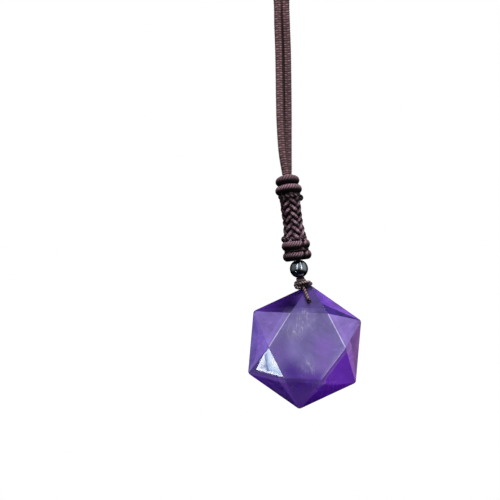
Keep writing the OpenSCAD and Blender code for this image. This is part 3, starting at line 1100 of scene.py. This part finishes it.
def make_surround():
    """White where it is seen, but mirrored as pale above and dark below, behind and far to the left."""
    world = bpy.data.worlds.new("studio")
    bpy.context.scene.world = world
    world.use_nodes = True
    tree = world.node_tree
    tree.nodes.clear()

    def map_range(value, *limits):
        keys = ("From Min", "From Max", "To Min", "To Max")
        return add_node(tree, "MapRange", {"Value": value, **dict(zip(keys, limits))}).outputs["Result"]

    sky = add_node(tree, "TexCoord").outputs["Generated"]
    parts = add_node(tree, "SeparateXYZ", {"Vector": sky}).outputs
    aside = add_node(tree, "Math", {0: parts["X"]}, operation="ABSOLUTE").outputs[0]
    height = add_node(tree, "Math", {0: aside, 1: 0.4, 2: parts["Z"]}, operation="MULTIPLY_ADD").outputs[0]
    upper = ramp(map_range(height, -1.0, 1.4, 0.0, 1.0), [(0.4, 0.004), (0.54, 0.4), (0.85, 0.55)])
    behind = ramp(parts["Y"], [(0.05, 1.0), (0.5, 0.08)])
    left_side = map_range(parts["X"], -0.55, -0.2, 0.45, 1.0)
    folded = add_node(tree, "CombineXYZ", {"X": aside, "Y": parts["Y"], "Z": parts["Z"]}).outputs[0]
    towards = add_node(tree, "VectorMath", {0: folded, 1: UPPER_FACETS_WAY}, operation="DOT_PRODUCT")
    facets_side = map_range(towards.outputs["Value"], 0.88, 0.96, 1.0, 0.1)
    glow = multiply(multiply(multiply(upper, behind), left_side), facets_side)
    rays = add_node(tree, "LightPath").outputs
    fill = map_range(rays["Is Diffuse Ray"], 0.0, 1.0, 1.0, 0.08)
    soft = add_node(tree, "Background", {"Color": glow, "Strength": fill})
    white = add_node(tree, "Background", {"Color": (1, 1, 1, 1), "Strength": 1.0})
    seen_by = {0: rays["Is Camera Ray"], 1: rays["Is Transmission Ray"]}
    seen = add_node(tree, "Math", seen_by, operation="MAXIMUM")
    mixed = add_node(tree, "MixShader", {0: seen.outputs[0], 1: soft.outputs[0], 2: white.outputs[0]})
    add_node(tree, "OutputWorld", {"Surface": mixed.outputs[0]})


def add_light(name, right, up, distance, size, power, *hidden):
    """A soft box of a width and height. right and up are its angles from the camera's side, in degrees."""
    azimuth = math.radians(right)
    elevation = math.radians(up)
    way = Vector((
        math.sin(azimuth) * math.cos(elevation),
        -math.cos(azimuth) * math.cos(elevation),
        math.sin(elevation),
    ))
    data = bpy.data.lights.new(name, "AREA")
    data.shape = "RECTANGLE"
    data.size, data.size_y = size
    data.energy = power
    lamp = add_object(name, data)
    lamp.location = PENDANT_MIDDLE + way * distance
    lamp.rotation_mode = "QUATERNION"
    lamp.rotation_quaternion = way.to_track_quat("Z", "Y")
    hide_from(lamp, "camera", *hidden)


make_floor()
make_surround()
add_light("key", -8, 80, 1.6, (0.7, 0.5), 88, "glossy")
add_light("back_fill", 170, 40, 1.6, (0.7, 0.7), 16, "glossy", "transmission")
add_light("front_fill", -20, 30, 0.9, (0.3, 0.3), 0.6, "glossy")
# Upright strips that mirror in the bead as streaks: angles to the right and up
STRIPS = {"left_low": (-24, 20), "left_high": (-24, 64), "right_low": (34, 14), "right_high": (34, 62)}
for strip, (right, up) in STRIPS.items():
    add_light(f"{strip}_strip", right, up, 0.7, (0.06, 0.55), 0.55, "diffuse")


# Card: a small folded card of light, which the stone's lower left facet mirrors from this many metres
CARD_FAR = 0.12
CARD_FACET = 4
CARD_GLOWS = {
    "white": (19, 19, 19), "pale": (15, 17.2, 16.6), "blue": (8.5, 12, 13.5), "fold": (1.6, 2.8, 5),
}
# Where the card is seen on the picture, in millimetres, and its glow there
CARD_POINTS = (
    (1.9, -352.6, "white"), (0.5, -355.4, "white"), (-2.2, -360.9, "white"), (1.3, -361.85, "white"),
    (7.15, -363.45, "white"), (4.75, -358, "white"), (0.55, -356.1, "pale"), (-1.5, -360.5, "pale"),
    (0.6, -357.9, "pale"), (0.75, -361.1, "pale"), (0.95, -354.7, "fold"), (1.02, -356.3, "fold"),
    (1.15, -357.9, "fold"), (1.4, -359.6, "fold"), (1.75, -361.3, "fold"), (1.6, -354.9, "blue"),
    (1.6, -356.3, "blue"), (1.7, -357.9, "blue"), (2.1, -359.6, "blue"), (2.6, -360.8, "blue"),
    (2.9, -357.6, "pale"), (4, -359.6, "pale"), (3.9, -361.2, "blue"), (5.9, -361.8, "blue"),
    (6, -362.5, "blue"),
)


def front_corner(degrees, reach, thickness):
    x, z = cut_corner(degrees, reach)
    return Vector(on_stone(x, -thickness / 2, z) * MM)


def facet_plane(number):
    """A point and the outward normal of one of the front facets at the stone's corners."""
    first = front_corner(*TABLE_CUT[number - 1], STONE_T)
    second = front_corner(*TABLE_CUT[number], STONE_T)
    corner = front_corner(60 * number, STONE_R, GIRDLE_W)
    normal = (second - first).cross(corner - first).normalized()
    return corner, normal if normal.y < 0 else -normal


def mirrored(x, z, plane):
    """Where the card has to be, to be seen in the facet at this place of the picture."""
    corner, normal = plane
    way = (Vector((x * MM, 0, z * MM)) - camera_place).normalized()
    hit = camera_place + way * ((corner - camera_place).dot(normal) / way.dot(normal))
    bounce = way - 2 * way.dot(normal) * normal
    return hit + bounce * CARD_FAR


def card_light():
    material, tree = new_material("card_glow")[:2]
    tree.nodes.clear()
    glow = add_node(tree, "Attribute", attribute_name="glow").outputs["Color"]
    add_node(tree, "OutputMaterial", {"Surface": add_node(tree, "Emission", {"Color": glow}).outputs[0]})
    return material


def make_card():
    plane = facet_plane(CARD_FACET)
    bm = bmesh.new()
    glow_layer = bm.verts.layers.float_color.new("glow")
    verts = []
    for x, z, glow in CARD_POINTS:
        verts.append(bm.verts.new(mirrored(x, z, plane)))
        verts[-1][glow_layer] = (*CARD_GLOWS[glow], 1)
    flat = [Vector((x, z)) for x, z, glow in CARD_POINTS]
    for corners in delaunay_2d_cdt(flat, [], [], 0, 0.001)[2]:
        bm.faces.new([verts[i] for i in corners])
    stage_piece("facet_card", bm, card_light(), "camera", "shadow")


make_card()


# Camera
camera_data = bpy.data.cameras.new("camera")
camera_data.sensor_width = SENSOR
camera_data.lens = SENSOR * VIEW_BACK / VIEW_WIDTH
camera_data.clip_start = 0.01
camera = add_object("camera", camera_data)
camera.location = camera_place
camera.rotation_euler = (math.pi / 2, 0, 0)
bpy.context.scene.camera = camera
bpy.context.scene.view_settings.view_transform = "Standard"
